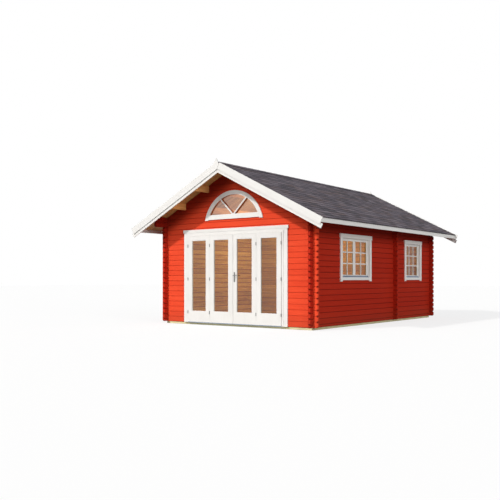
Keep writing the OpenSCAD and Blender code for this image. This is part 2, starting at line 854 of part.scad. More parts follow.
// Window sash with a groove for its glass
module sash(y) {
    x1 = half_w - sash_back;
    x0 = x1 - sash_t;
    z0 = window_z0 + fit;
    z1 = window_z1 - sash_gap;
    difference() {
        block([x0, y[0], z0], [x1, y[1], z1]);
        pane_opening([x0, y[0] + sash_w, z0 + sash_w], [x1, y[1] - sash_w, z1 - sash_w], [1, 0, 0]);
        sash_pane(y, fit);
    }
}

// Casing of a side window, on the wall face
module window_casing(at, w) {
    x0 = half_w + fit;
    y0 = front_y + at - w / 2;
    y1 = y0 + w;
    low = window_z0 - window_board_h;
    for (y = [y0 - window_casing_w, y1])
        block([x0, y, low - window_foot], [x0 + window_casing_t, y + window_casing_w, window_z1 - fit]);
    block([x0, y0 + fit, low], [x0 + window_casing_t, y1 - fit, window_z0]);
    out = window_casing_w + window_ear;
    block([x0, y0 - out, window_z1], [x0 + window_head_t, y1 + out, window_z1 + window_casing_w]);
}

// Weather bar on the foot of a sash
module weather_bar(y) {
    x = half_w - sash_back + fit;
    z = window_z0 + fit;
    translate([0, y[1], 0]) rotate([90, 0, 0]) linear_extrude(y[1] - y[0])
        polygon([[x, z], [x + bar_out, z], [x + bar_out, z + bar_h / 4], [x, z + bar_h]]);
}

module twin_window_frame() color(white_paint) window_frame(twin_at, twin_w);

module twin_window_sashes() color(white_paint) for (i = [0, 1]) sash(sash_y(twin_at, twin_w, 2, i));

module twin_window_glass() color(pane) for (i = [0, 1]) sash_pane(sash_y(twin_at, twin_w, 2, i), 0);

module twin_window_casing() color(white_paint) window_casing(twin_at, twin_w);

module single_window_frame() color(white_paint) window_frame(single_at, single_w);

module single_window_sash() color(white_paint) sash(sash_y(single_at, single_w, 1, 0));

module single_window_glass() color(pane) sash_pane(sash_y(single_at, single_w, 1, 0), 0);

module single_window_casing() color(white_paint) window_casing(single_at, single_w);

module window_weather_bars() color(steel) {
    for (i = [0, 1]) weather_bar(sash_y(twin_at, twin_w, 2, i));
    weather_bar(sash_y(single_at, single_w, 1, 0));
}

base_frame();
floor_deck();
front_wall_left();
front_wall_right();
front_gable();
left_wall();
right_wall();
rear_wall();
rear_gable();
inner_wall();
inner_gable();
purlins();
roof_boards_left();
roof_boards_right();
shingles_left();
shingles_right();
ridge_cap();
front_bargeboards();
rear_bargeboards();
front_lower_bargeboards();
rear_lower_bargeboards();
eaves_boards();
door_frame();
door_sill();
door_leaf(1);  // door_leaf_1
door_leaf(2);  // door_leaf_2
door_leaf(3);  // door_leaf_3
door_leaf(4);  // door_leaf_4
door_glass();
door_meeting_strip();
door_hinges();
door_handles();
door_casing();
arch_window_frame();
arch_window_glass();
arch_window_casing();
twin_window_frame();
twin_window_sashes();
twin_window_glass();
twin_window_casing();
single_window_frame();
single_window_sash();
single_window_glass();
single_window_casing();
window_weather_bars();
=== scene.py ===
"""Looks of a red log cabin with white trims, a shingle roof, a folding glass door and an arched window."""
import math

import bpy
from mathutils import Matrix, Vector


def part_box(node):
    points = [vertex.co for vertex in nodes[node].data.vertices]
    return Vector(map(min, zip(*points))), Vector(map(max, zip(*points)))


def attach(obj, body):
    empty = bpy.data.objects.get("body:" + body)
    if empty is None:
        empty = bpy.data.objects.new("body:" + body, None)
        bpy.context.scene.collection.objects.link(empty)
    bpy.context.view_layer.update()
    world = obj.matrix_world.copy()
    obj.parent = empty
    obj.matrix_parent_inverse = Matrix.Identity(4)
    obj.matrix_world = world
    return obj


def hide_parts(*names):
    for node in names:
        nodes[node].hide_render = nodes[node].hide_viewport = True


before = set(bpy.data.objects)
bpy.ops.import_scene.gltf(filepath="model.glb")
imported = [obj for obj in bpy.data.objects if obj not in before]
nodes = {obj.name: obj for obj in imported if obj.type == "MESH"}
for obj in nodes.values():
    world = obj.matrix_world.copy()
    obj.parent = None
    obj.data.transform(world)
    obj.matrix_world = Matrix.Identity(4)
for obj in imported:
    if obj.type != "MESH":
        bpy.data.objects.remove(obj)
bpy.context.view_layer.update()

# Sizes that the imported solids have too, in metres
LOG_H = 0.121             # one course of logs
PITCH = math.radians(27)  # slope of the roof
FIT = 0.0004              # between pieces that seat on each other
DECK_GAP = 0.005          # between the floor and the walls
SHOW = 0.145              # of a shingle below the next course
FELT_T = 0.014            # shingles at the foot of a course
FELT_STEP = 0.006         # from one course down to the next
PLANK_T = 0.019           # soffit boards
SASH_W = 0.055            # rails and stiles of a sash
SASH_GAP = 0.002          # between two sashes
ARCH_R = 0.750            # arched pane that shows
ARCH_FRAME_W = 0.045

# Sizes of the added pieces, in metres
TAB_W = 1 / 3
TAB_T = 0.003
RIDGE_TAB = 0.25          # length of a tab that shows
PLANK_W = 0.096           # from one soffit board to the next
FLOOR_W = 0.1006          # from one floor board to the next
SASH_BAR_W = 0.026
ARCH_BAR_W = 0.034
ARCH_BAR_BACK = 0.004     # behind the face of the casing
ARCH_BAR_ROUND = 0.003
ARCH_INNER_BAR_W = 0.036
ARCH_INNER_BAR_BACK = 0.002  # behind the inner face of the wall

# How near counts as on a face, for points and for paint
NEAR = 0.001
HAIR = 0.0005

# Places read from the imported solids
BASE_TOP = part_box("base_frame")[1].z
ROOM_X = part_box("floor_deck")[1].x + DECK_GAP + HAIR
FRONT_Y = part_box("front_wall_left")[0].y
FRONT_IN_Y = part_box("front_wall_left")[1].y
REAR_IN_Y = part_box("rear_wall")[0].y
CROSS_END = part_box("inner_wall")[1].x
SIDE_END = CROSS_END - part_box("single_window_frame")[1].x - FRONT_Y
ARCH_BAR_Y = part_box("arch_window_casing")[0].y + ARCH_BAR_BACK
ROOF_LOW, ROOF_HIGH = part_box("shingles_right")
SOFFIT_LOW, SOFFIT_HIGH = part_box("roof_boards_right")
SOFFIT_RIDGE = SOFFIT_HIGH.z - 0.021  # underside of the soffit at the ridge


# Shader expressions

class Wire:
    """A shader socket that sums, products and comparisons can be written with."""

    def __init__(self, socket):
        self.socket = socket

    def maths(self, operation, *values):
        tree = self.socket.id_data
        node = tree.nodes.new("ShaderNodeMath")
        node.operation = operation
        for slot, value in zip(node.inputs, values):
            if isinstance(value, Wire):
                tree.links.new(value.socket, slot)
            else:
                slot.default_value = value
        return Wire(node.outputs[0])

    def __add__(self, other):
        return self.maths("ADD", self, other)

    def __radd__(self, other):
        return self.maths("ADD", other, self)

    def __sub__(self, other):
        return self.maths("SUBTRACT", self, other)

    def __rsub__(self, other):
        return self.maths("SUBTRACT", other, self)

    def __mul__(self, other):
        return self.maths("MULTIPLY", self, other)

    def __rmul__(self, other):
        return self.maths("MULTIPLY", other, self)

    def __truediv__(self, other):
        return self.maths("DIVIDE", self, other)

    def __rtruediv__(self, other):
        return self.maths("DIVIDE", other, self)

    def __mod__(self, other):
        return self.maths("FLOORED_MODULO", self, other)

    def __rmod__(self, other):
        return self.maths("FLOORED_MODULO", other, self)

    def __lt__(self, other):
        return self.maths("LESS_THAN", self, other)

    def __gt__(self, other):
        return self.maths("GREATER_THAN", self, other)

    def __abs__(self):
        return self.maths("ABSOLUTE", self)

    def __floor__(self):
        return self.maths("FLOOR", self)

    def least(self, other):
        return self.maths("MINIMUM", self, other)

    def most(self, other):
        return self.maths("MAXIMUM", self, other)


class Wiring:
    """The node tree of a material or of the world, built node by node."""

    def __init__(self, owner):
        owner.use_nodes = True
        self.tree = owner.node_tree
        self.tree.nodes.clear()

    def add(self, kind, settings=None, inputs=None, out=0):
        """Any node: its type, its settings, then the values or links of its sockets."""
        node = self.tree.nodes.new("ShaderNode" + kind)
        for key, value in (settings or {}).items():
            if key == "stops":
                ramp = node.color_ramp.elements
                ramp[0].position, ramp[0].color = value[0]
                ramp[1].position, ramp[1].color = value[-1]
                for position, colour in value[1:-1]:
                    ramp.new(position).color = colour
            else:
                setattr(node, key, value)
        for key, value in (inputs or {}).items():
            if isinstance(value, Wire):
                self.tree.links.new(value.socket, node.inputs[key])
            else:
                node.inputs[key].default_value = value
        return Wire(node.outputs[out]) if node.outputs else None

    def sees_white(self):
        """1 for the rays that see a white studio: from the camera, off a mirror or through a pane."""
        seen = self.add("LightPath", out="Is Camera Ray")
        for ray in ("Is Glossy Ray", "Is Transmission Ray"):
            seen = seen.most(self.add("LightPath", out=ray))
        return seen


class Finish(Wiring):
    """A material whose patterns lie on Object coordinates."""

    def __init__(self, name):
        self.material = bpy.data.materials.new(name)
        super().__init__(self.material)
        self.place = self.add("TexCoord", out="Object")
        self.x, self.y, self.z = (self.add("SeparateXYZ", {}, {0: self.place}, axis) for axis in "XYZ")

    def turned(self, order):
        """The place with its axes in another order, the one along the grain first."""
        return self.add("CombineXYZ", {}, {i: getattr(self, axis) for i, axis in enumerate(order)})

    def stretched(self, scale, place=None):
        return self.add("Mapping", {}, {"Vector": place or self.place, "Scale": scale})

    def noise(self, place, scale, detail=4.0, rough=0.55, warp=0.0):
        return self.add("TexNoise", {}, {"Vector": place, "Scale": scale, "Detail": detail,
                                         "Roughness": rough, "Distortion": warp})

    def chance(self, *numbers):
        """One random value for each whole number, or pair of them."""
        if len(numbers) == 1:
            return self.add("TexWhiteNoise", {"noise_dimensions": "1D"}, {"W": numbers[0]})
        pair = self.add("CombineXYZ", {}, dict(enumerate(numbers)))
        return self.add("TexWhiteNoise", {"noise_dimensions": "2D"}, {"Vector": pair})

    def fade(self, value, low, high, start=0.0, end=1.0):
        """From start to end, smoothly, as a value goes from low to high."""
        return self.add("MapRange", {"interpolation_type": "SMOOTHSTEP"},
                        {"Value": value, 1: low, 2: high, 3: start, 4: end})

    def blend(self, share, first, second):
        return self.add("Mix", {"data_type": "RGBA"}, {0: share, 6: first, 7: second}, 2)

    def ramp(self, value, tints, reach=0.4):
        """Dark, middle and light tint, for a value from reach below one half to reach above it."""
        stops = zip((0.5 - reach, 0.5, 0.5 + reach), tints)
        return self.add("ValToRGB", {"stops": [(p, rgba(*tint)) for p, tint in stops]}, {"Fac": value})

    def bump(self, height, strength, distance):
        return self.add("Bump", {}, {"Height": height, "Strength": strength, "Distance": distance})

    def surface(self, colour, rough, normal, **constants):
        inputs = {"Base Color": colour, "Roughness": rough, "Normal": normal}
        inputs.update({key.replace("_", " "): value for key, value in constants.items()})
        return self.close(self.add("BsdfPrincipled", {}, inputs))

    def close(self, shader):
        self.add("OutputMaterial", {}, {"Surface": shader})
        return self.material


def rgba(r, g, b):
    return (r, g, b, 1)


def varied(middle, *patterns):
    """A middle value that each pattern moves up and down in its own measure."""
    value = middle
    for pattern, measure in patterns:
        value = value + (pattern - 0.5) * measure
    return value


# Dark, middle and light tints
REDS = (0.58, 0.040, 0.016), (0.765, 0.069, 0.026), (0.87, 0.102, 0.042)
# Deeper copy of the reds for the side, rear and inner walls: painted shade
SHADED_REDS = (0.385, 0.018, 0.007), (0.50, 0.027, 0.011), (0.60, 0.046, 0.018)
WHITES = (0.670, 0.654, 0.628), (0.750, 0.738, 0.716), (0.800, 0.790, 0.772)
FLOOR_PINE = (0.52, 0.250, 0.085), (0.70, 0.385, 0.145), (0.84, 0.530, 0.240)
ROOM_PINE = (0.44, 0.215, 0.035), (0.63, 0.355, 0.060), (0.78, 0.500, 0.120)
# Purlins brighter than the other pine: painted light under the roof
LIT_BEAM_PINE = (0.70, 0.310, 0.090), (0.90, 0.470, 0.160), (0.96, 0.620, 0.270)
# Soffit boards darker than the other pine: painted shade under the roof
SHADED_SOFFIT_PINE = (0.35, 0.160, 0.046), (0.50, 0.246, 0.076), (0.62, 0.340, 0.120)
BROWN_PINE = (0.36, 0.085, 0.018), (0.50, 0.130, 0.030), (0.62, 0.200, 0.055)
TREATED_PINE = (0.48, 0.420, 0.200), (0.72, 0.660, 0.370), (0.83, 0.780, 0.500)
GRANULES = (0.033, 0.028, 0.037), (0.080, 0.067, 0.086), (0.160, 0.137, 0.160)

# Tints of joints, wear and dirt, and of painted shade: in the grooves, at the notched log ends, under the
# roof and under the shingle butts
SEAM_DIRT_AND_SHADE_RED = rgba(0.24, 0.014, 0.007)
SPLASHED_RED = rgba(0.30, 0.060, 0.030)
NOTCH_SHADE_RED = rgba(0.13, 0.007, 0.004)
ROOF_SHADE_RED = rgba(0.15, 0.007, 0.003)
SEAM_DIRT_AND_SHADE_PINE = rgba(0.22, 0.10, 0.04)
KNOT = rgba(0.24, 0.095, 0.035)
GRIME = rgba(0.60, 0.56, 0.49)
DAMP = rgba(0.16, 0.14, 0.07)
BROWN_FELT = rgba(0.105, 0.064, 0.054)
BUTT_SHADE = rgba(0.016, 0.014, 0.018)


# Finishes

def pine_tint(f, place, tone, tints):
    """Colour and grain height of planed pine whose length runs along the first axis of place."""
    ring = f.noise(f.stretched((0.7, 11, 11), place), 2.2, 6, 0.6, 0.8)
    fibre = f.noise(f.stretched((3, 90, 90), place), 3, 3)
    cell = f.add("TexVoronoi", {}, {"Vector": f.stretched((2.2, 7, 7), place), "Scale": 1.0})
    knot = f.fade(cell, 0.05, 0.16, 0.55, 0)
    tint = f.ramp(varied(0.5, (ring, 1.5), (fibre, 0.5), (tone, 0.45)), tints, 0.35)
    return f.blend(knot, tint, KNOT), ring * 0.6 + fibre * 0.4


def log_paint(name, seed, along_x=True, reds=REDS, groove=0.40):
    """Red wood paint on planed logs, with bare pine on the faces inside the rooms, and painted shade under
    the roof, at the notched log ends and, together with dirt, in the grooves.
    """
    f = Finish(name)
    place = f.place if along_x else f.turned("yxz")
    foot = BASE_TOP if along_x else BASE_TOP - LOG_H / 2
    height = (f.z - foot) / LOG_H
    course = math.floor(height)
    part = height - course
    joint = part.least(1 - part)
    tone = f.chance(course + seed)
    grain = f.noise(f.stretched((0.8, 12, 12), place), 3.0, 6, 0.62)
    brush = f.noise(f.stretched((2.5, 70, 70), place), 4.0, 3)
    patch = f.noise(f.place, 1.1, 2)
    paint = f.ramp(varied(0.5, (tone, 0.14), (grain, 0.45), (brush, 0.30), (patch, 0.25)), reds)

    # Darker grooves between the courses: dirt, and painted shade where the grooves lie in shade
    seam = f.fade(joint, 0.02, 0.10, 1, 0)
    paint = f.blend(seam * groove, paint, SEAM_DIRT_AND_SHADE_RED)
    splash = f.fade(varied(f.z, (patch, 0.25)), 0.05, 0.42, 0.25, 0)
    paint = f.blend(splash, paint, SPLASHED_RED)
    # Painted shade in the notches between the chamfered ends of the logs past a crossing
    end_depth = 0.03
    if along_x:
        end = abs(f.x) > CROSS_END - end_depth
    else:
        end = (abs(f.y) > SIDE_END - end_depth) * (abs(f.y) < SIDE_END + NEAR)
    notch_shade = f.fade(joint, 0.05, 0.25, 0.62, 0) * end
    paint = f.blend(notch_shade, paint, NOTCH_SHADE_RED)
    # Painted shade: the paint darkens towards the roof's underside, on the gables and under the eaves
    below_roof = SOFFIT_RIDGE - abs(f.x) * math.tan(PITCH) - f.z
    roof_shade = f.fade(below_roof, 0.15, 0.50 if along_x else 0.72, 0.84, 0)
    paint = f.blend(roof_shade, paint, ROOF_SHADE_RED)

    inside = (abs(f.x) < ROOM_X) * (f.y > FRONT_IN_Y - HAIR) * (f.y < REAR_IN_Y + HAIR)
    wood, wood_relief = pine_tint(f, place, tone, ROOM_PINE)
    # The grooves inside are darker too: dirt and painted shade
    wood = f.blend(seam * 0.5, wood, SEAM_DIRT_AND_SHADE_PINE)
    colour = f.blend(inside, paint, wood)
    rough = varied(0.68, (grain, 0.25)) - inside * 0.12
    relief = grain * 0.55 + brush * 0.45 + wood_relief * inside * 0.3
    return f.surface(colour, rough, f.bump(relief, 0.35, 0.0022), Specular_IOR_Level=0.04)


def white_paint(name, order, seed=0.0, bare_from=None, painted_light_level=1.0):
    """White satin paint on boards whose length runs along the first axis in order, or down the slope.

    Behind bare_from, the boards are bare brown pine.
    """
    f = Finish(name)
    if order == "slope":
        side = abs(f.x)
        lengthwise = side * math.cos(PITCH) - f.z * math.sin(PITCH)
        across = side * math.sin(PITCH) + f.z * math.cos(PITCH)
        place = f.add("CombineXYZ", {}, {0: lengthwise, 1: f.y, 2: across})
    else:
        place = f.turned(order)
    grain = f.noise(f.stretched((1.2, 22, 22), place), 3.0, 5, 0.6)
    brush = f.noise(f.stretched((4, 160, 160), place), 3.0, 3)
    patch = f.noise(f.place, 2.3 + seed, 3)
    # A level above 1 is painted light: the whites are brightened where they stand in shade
    tints = [[painted_light_level * c for c in white] for white in WHITES]
    colour = f.ramp(varied(0.5, (grain, 0.5), (brush, 0.3), (patch, 0.5)), tints)
    colour = f.blend(f.fade(patch, 0.62, 0.80, 0, 0.16), colour, GRIME)
    rough = varied(0.42, (patch, 0.25))
    if bare_from is not None:
        bare = f.y > bare_from
        wood, _ = pine_tint(f, f.place, patch, BROWN_PINE)
        colour = f.blend(bare, colour, wood)
        rough = rough + bare * 0.12
    relief = grain * 0.6 + brush * 0.4
    return f.surface(colour, rough, f.bump(relief, 0.22, 0.0015), Specular_IOR_Level=0.4)


def pine(name, order, width=0.5, tints=FLOOR_PINE):
    """Planed pine whose length runs along the first axis in order, or down the slope.

    Boards of a given width along the second axis differ in tone and in grain.
    """
    seed, slide_along, slide_across = 3.0, 7.0, 3.0
    f = Finish(name)
    if order == "slope":
        place = f.add("CombineXYZ", {}, {0: abs(f.x) / math.cos(PITCH), 1: f.y, 2: f.z})
        row = f.y
    else:
        place = f.turned(order)
        row = getattr(f, order[1])
    board = math.floor(row / width + NEAR)
    tone = f.chance(board + seed)
    slide = f.add("CombineXYZ", {}, {0: tone * slide_along, 1: 0.0, 2: tone * slide_across})
    place = f.add("VectorMath", {"operation": "ADD"}, {0: place, 1: slide})
    colour, relief = pine_tint(f, place, tone, tints)
    rough = varied(0.50, (relief, 0.25))
    return f.surface(colour, rough, f.bump(relief, 0.3, 0.0018), Specular_IOR_Level=0.15)


def treated_pine(name):
    """Pressure-treated beams, yellow with a green cast and damp near the ground."""
    f = Finish(name)
    grain = f.noise(f.stretched((2, 2, 30)), 3.0, 6, 0.6)
    patch = f.noise(f.place, 3.5, 4)
    colour = f.ramp(varied(0.5, (grain, 1.3), (patch, 0.9)), TREATED_PINE)
    damp = f.fade(varied(f.z, (patch, 0.02)), 0.0, 0.022, 0.5, 0)
    colour = f.blend(damp, colour, DAMP)
    return f.surface(colour, varied(0.72, (patch, 0.2)), f.bump(grain, 0.4, 0.002))


def shingle_felt(name, ridge=False):
    """Mineral granules on bitumen felt, each tab with its own tone, and streaks down the slope."""
    lead, other_slope, above_nought, brown_seed = 0.02, 57.0, 100.0, 31.0
    f = Finish(name)
    rise = (ROOF_HIGH.x - abs(f.x)) / (SHOW * math.cos(PITCH)) + lead
    course = math.floor(rise)
    slope = (f.x > 0) * other_slope
    if ridge:
        tab = math.floor(f.y / RIDGE_TAB + above_nought)
        tone = f.chance(slope, tab)
    else:
        tab = math.floor(f.y / TAB_W + (course % 2.0) * 0.5 + above_nought)
        tone = f.chance(course + slope, tab)
    streak = f.noise(f.stretched((6, 1.5, 6)), 2.0, 5, 0.6)
    mottle = f.noise(f.place, 30, 5, 0.7)
    grit = f.noise(f.place, 420, 2)
    colour = f.ramp(varied(0.5, (tone, 0.65), (streak, 0.7), (mottle, 0.5), (grit, 0.9)), GRANULES)
    brown = f.fade(f.chance(tab + brown_seed, course), 0.55, 0.90, 0, 0.6) * f.fade(streak, 0.35, 0.65)
    colour = f.blend(brown, colour, BROWN_FELT)
    if not ridge:
        colour = f.blend(f.fade(rise % 1.0, 0.0, 0.16, 0.55, 0), colour, BUTT_SHADE)
    relief = grit * 0.7 + mottle * 0.3
    return f.surface(colour, 0.88, f.bump(relief, 0.55, 0.0016), Specular_IOR_Level=0.3)


def window_glass(name, density, tint):
    """Clear panes, which mirror more the denser they are and the flatter they are seen."""
    f = Finish(name)
    wave = f.bump(f.noise(f.place, 1.3, 2), 0.05, 0.01)
    mirror = f.add("BsdfGlossy", {}, {"Color": rgba(0.96, 0.97, 0.97), "Roughness": 0.015, "Normal": wave})
    clear = f.add("BsdfTransparent", {}, {"Color": rgba(*tint)})
    share = f.add("Fresnel", {}, {"IOR": density}) * (1 - f.add("NewGeometry", out="Backfacing"))
    return f.close(f.add("MixShader", {}, {0: share, 1: clear, 2: mirror}))


def metal(name, dark, light, rough, scratch):
    """Plated or anodised metal with fine drawing lines along its length."""
    f = Finish(name)
    lines = f.noise(f.stretched(scratch), 60, 3)
    dull = f.noise(f.place, 30, 3)
    colour = f.blend(varied(0.5, (lines, 0.8), (dull, 0.6)), rgba(*dark), rgba(*light))
    return f.surface(colour, varied(rough, (dull, 0.25)), f.bump(lines, 0.12, 0.0006), Metallic=1.0)


red_across = log_paint("red_paint_across", 11.0)
red_gable = log_paint("red_paint_gable", 47.0)
# Walls other than the front take the deeper reds, which are painted shade; the side walls also get darker
# grooves, partly painted shade
red_back = log_paint("red_paint_back", 31.0, reds=SHADED_REDS)
red_side = log_paint("red_paint_side", 23.0, along_x=False, reds=SHADED_REDS, groove=0.95)
white_flat = white_paint("white_paint_flat", "xyz")
white_upright = white_paint("white_paint_upright", "zxy", 0.4)
# Whites lifted above the plain white for boards in the shade of the roof: painted light on the eaves boards,
# the side windows and the arched window's casing
white_deep = white_paint("white_paint_deep", "yxz", 0.7, painted_light_level=1.2)
white_side = white_paint("white_paint_side", "zxy", 0.6, painted_light_level=1.2)
white_gable = white_paint("white_paint_gable", "xyz", 0.3, painted_light_level=1.07)
white_slope = white_paint("white_paint_slope", "slope", 0.2)
white_arch = white_paint("white_paint_arch", "xyz", 0.5, bare_from=FRONT_Y + NEAR)
white_bars = white_paint("white_paint_bars", "xyz", 0.5, bare_from=ARCH_BAR_Y + ARCH_BAR_ROUND)
pine_beam = pine("pine_beam", "yxz", 0.35, LIT_BEAM_PINE)
pine_soffit = pine("pine_soffit", "slope", PLANK_W, SHADED_SOFFIT_PINE)
pine_bar = pine("pine_bar", "xzy", tints=BROWN_PINE)
pine_floor = pine("pine_floor", "yxz", FLOOR_W)
base_beam = treated_pine("treated_pine")
felt = shingle_felt("shingle_felt")
ridge_felt = shingle_felt("ridge_felt", ridge=True)
door_glass = window_glass("clear_glass", 1.75, (0.92, 0.915, 0.86))
arch_glass = window_glass("arch_glass", 2.4, (0.92, 0.92, 0.90))
side_glass = window_glass("side_glass", 1.36, (0.84, 0.77, 0.54))
zinc = metal("zinc_steel", (0.15, 0.15, 0.145), (0.30, 0.30, 0.29), 0.40, (2, 2, 0.1))
alloy = metal("anodised_aluminium", (0.20, 0.25, 0.34), (0.38, 0.45, 0.58), 0.42, (0.1, 0.1, 2))

for finish, names in (
        (red_across, "front_wall_left front_wall_right"),
        (red_gable, "front_gable"),
        (red_back, "rear_wall inner_wall rear_gable inner_gable"),
        (red_side, "left_wall right_wall"),
        (white_slope, "front_bargeboards rear_bargeboards front_lower_bargeboards rear_lower_bargeboards"),
        (white_deep, "eaves_boards twin_window_casing single_window_casing"),
        (white_flat, "door_casing"),
        (white_gable, "arch_window_casing"),
        (white_upright, "door_frame door_leaf_1 door_leaf_2 door_leaf_3 door_leaf_4 door_meeting_strip"),
        (white_side, "twin_window_frame twin_window_sashes single_window_frame single_window_sash"),
        (white_arch, "arch_window_frame"),
        (pine_beam, "purlins"),
        (pine_soffit, "roof_boards_left roof_boards_right"),
        (pine_floor, "floor_deck"),
        (base_beam, "base_frame"),
        (felt, "shingles_left shingles_right"),
        (ridge_felt, "ridge_cap"),
        (door_glass, "door_glass"),
        (arch_glass, "arch_window_glass"),
        (side_glass, "twin_window_glass single_window_glass"),
        (zinc, "door_hinges door_handles"),
        (alloy, "door_sill window_weather_bars")):
    for name in names.split():
        for held in nodes[name].material_slots:
            held.material = finish


# Modelling

def deselect():
    if bpy.context.mode != "OBJECT":
        bpy.ops.object.mode_set(mode="OBJECT")
    bpy.ops.object.select_all(action="DESELECT")


def take(piece):
    """Makes a piece the only one selected, and active."""
    deselect()
    piece.select_set(True)
    bpy.context.view_layer.objects.active = piece


def settle():
    """Puts the place, turn and scale of what is selected into its mesh."""
    bpy.ops.object.transform_apply(location=True, rotation=True, scale=True)


def stick(name, low, high):
    """A squared stick between two corners, to be shaped further."""
    deselect()
    low, high = Vector(low), Vector(high)
    bpy.ops.mesh.primitive_cube_add(size=1, location=(low + high) / 2)
    piece = bpy.context.object
    piece.name = piece.data.name = name
    piece.scale = high - low
    settle()
    return piece


def pick(piece, kind, test):
    """Goes into edit mode with the points, edges or faces selected that pass a test.

    The test gets a place, and for an edge also its direction.
    """
    take(piece)
    mesh = piece.data
    bpy.context.tool_settings.mesh_select_mode = (kind == "VERT", kind == "EDGE", kind == "FACE")
    for group in (mesh.vertices, mesh.edges, mesh.polygons):
        for item in group:
            item.select = False
    if kind == "VERT":
        for point in mesh.vertices:
            point.select = test(point.co)
    elif kind == "EDGE":
        for edge in mesh.edges:
            a, b = (mesh.vertices[i].co for i in edge.vertices)
            edge.select = test((a + b) / 2, (b - a).normalized())
    else:
        for face in mesh.polygons:
            face.select = test(face.center)
    bpy.ops.object.mode_set(mode="EDIT")


def out_of_edit():
    bpy.ops.object.mode_set(mode="OBJECT")


def runs(way, axis):
    """Whether an edge runs along an axis."""
    return abs(getattr(way, axis)) > 0.9


def anywhere(place):
    return True


def ease(piece, test, size, steps=1):
    """Bevels the edges that pass a test."""
    pick(piece, "EDGE", test)
    bpy.ops.mesh.bevel(offset=size, segments=steps, affect="EDGES")
    out_of_edit()


def shift(piece, test, move):
    """Moves the points that pass a test."""
    pick(piece, "VERT", test)
    bpy.ops.transform.translate(value=move)
    out_of_edit()


def saw(piece, point, normal):
    """Cuts off what lies past a plane and closes the cut."""
    pick(piece, "FACE", anywhere)
    bpy.ops.mesh.bisect(plane_co=point, plane_no=normal, use_fill=True, clear_outer=True)
    out_of_edit()


def repeat(piece, count, step):
    """Makes a row of a piece, all in its mesh."""
    take(piece)
    row = piece.modifiers.new("Row", "ARRAY")
    row.count = count
    row.use_relative_offset = False
    row.use_constant_offset = True
    row.constant_offset_displace = step
    bpy.ops.object.modifier_apply(modifier=row.name)


def copied(piece, name):
    other = piece.copy()
    other.data = piece.data.copy()
    other.name = other.data.name = name
    bpy.context.scene.collection.objects.link(other)
    return other


def set_in(piece, angle, place):
    """Turns a piece about the ridge direction and lays it at a place, all of it in the mesh."""
    take(piece)
    piece.rotation_euler = (0, angle, 0)
    piece.location = place
    settle()


def mirrored(piece, name):
    """The same piece on the other side of the ridge."""
    other = copied(piece, name)
    take(other)
    other.scale = (-1, 1, 1)
    settle()
    pick(other, "FACE", anywhere)
    bpy.ops.mesh.normals_make_consistent(inside=False)
    out_of_edit()
    return other


def joined(name, pieces):
    deselect()
    for piece in pieces:
        piece.select_set(True)
    bpy.context.view_layer.objects.active = pieces[0]
    bpy.ops.object.join()
    pieces[0].name = pieces[0].data.name = name
    return pieces[0]


def done(piece, finish, slot, *stands_for):
    """Gives a piece its finish and says what it rides on and which nodes it stands for."""
    piece.data.materials.clear()
    piece.data.materials.append(finish)
    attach(piece, "root")
    if stands_for:
        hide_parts(*stands_for)


# Roof

def shingle_tabs():
    """Two courses of one tab each, half a tab apart, repeated over a slope and cut at the verges."""
    slit, joint, overhang, corner = 0.003, 0.0006, 0.0015, 0.014
    pair = []
    for course in (0, 1):
        butt = -course * SHOW
        aside = -TAB_W / 2 * course
        tab = stick("tab", (butt - SHOW + joint, aside + slit, FIT),
                    (butt + overhang, aside + TAB_W - slit, TAB_T))
        ease(tab, lambda mid, way: runs(way, "z") and mid.x > butt, corner, 2)
        shift(tab, lambda co: co.x < butt - SHOW / 2, (0, 0, -FELT_STEP))
        pair.append(tab)
    slope = joined("shingle_tabs_right", pair)
    verge = ROOF_HIGH.y
    half_row = math.ceil(verge / TAB_W)
    pairs_of_courses = 10
    shift(slope, anywhere, (0, -half_row * TAB_W, 0))
    repeat(slope, half_row * 2 + 1, (0, TAB_W, 0))
    repeat(slope, pairs_of_courses, (-2 * SHOW, 0, 0))
    saw(slope, (0, verge - NEAR, 0), (0, 1, 0))
    saw(slope, (0, NEAR - verge, 0), (0, -1, 0))
    set_in(slope, PITCH, (ROOF_HIGH.x, 0, ROOF_LOW.z + FELT_T / math.cos(PITCH)))
    done(mirrored(slope, "shingle_tabs_left"), felt, "shingle")
    done(slope, felt, "shingle")


def ridge_tabs():
    """Folded tabs over the ridge, each lying on the one before."""
    thick, lap, lift, overhang, corner = 0.0035, 0.03, 0.0042, 0.004, 0.012
    off_ridge = 0.01
    low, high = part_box("ridge_cap")
    wing = high.x + overhang
    tab = stick("ridge_tabs", (-wing, low.y + NEAR, high.z),
                (wing, low.y + RIDGE_TAB + lap, high.z + thick))
    pick(tab, "FACE", anywhere)
    bpy.ops.mesh.bisect(plane_co=(0, 0, 0), plane_no=(1, 0, 0))
    out_of_edit()
    shift(tab, lambda co: abs(co.x) > off_ridge, (0, 0, -wing * math.tan(PITCH)))
    shift(tab, lambda co: co.y > low.y + RIDGE_TAB, (0, 0, lift))
    ease(tab, lambda mid, way: runs(way, "z") and abs(mid.x) > off_ridge, corner, 2)
    repeat(tab, math.ceil((high.y - low.y) / RIDGE_TAB), (0, RIDGE_TAB, 0))
    saw(tab, (0, high.y - NEAR, 0), (0, 1, 0))
    done(tab, ridge_felt, "shingle")


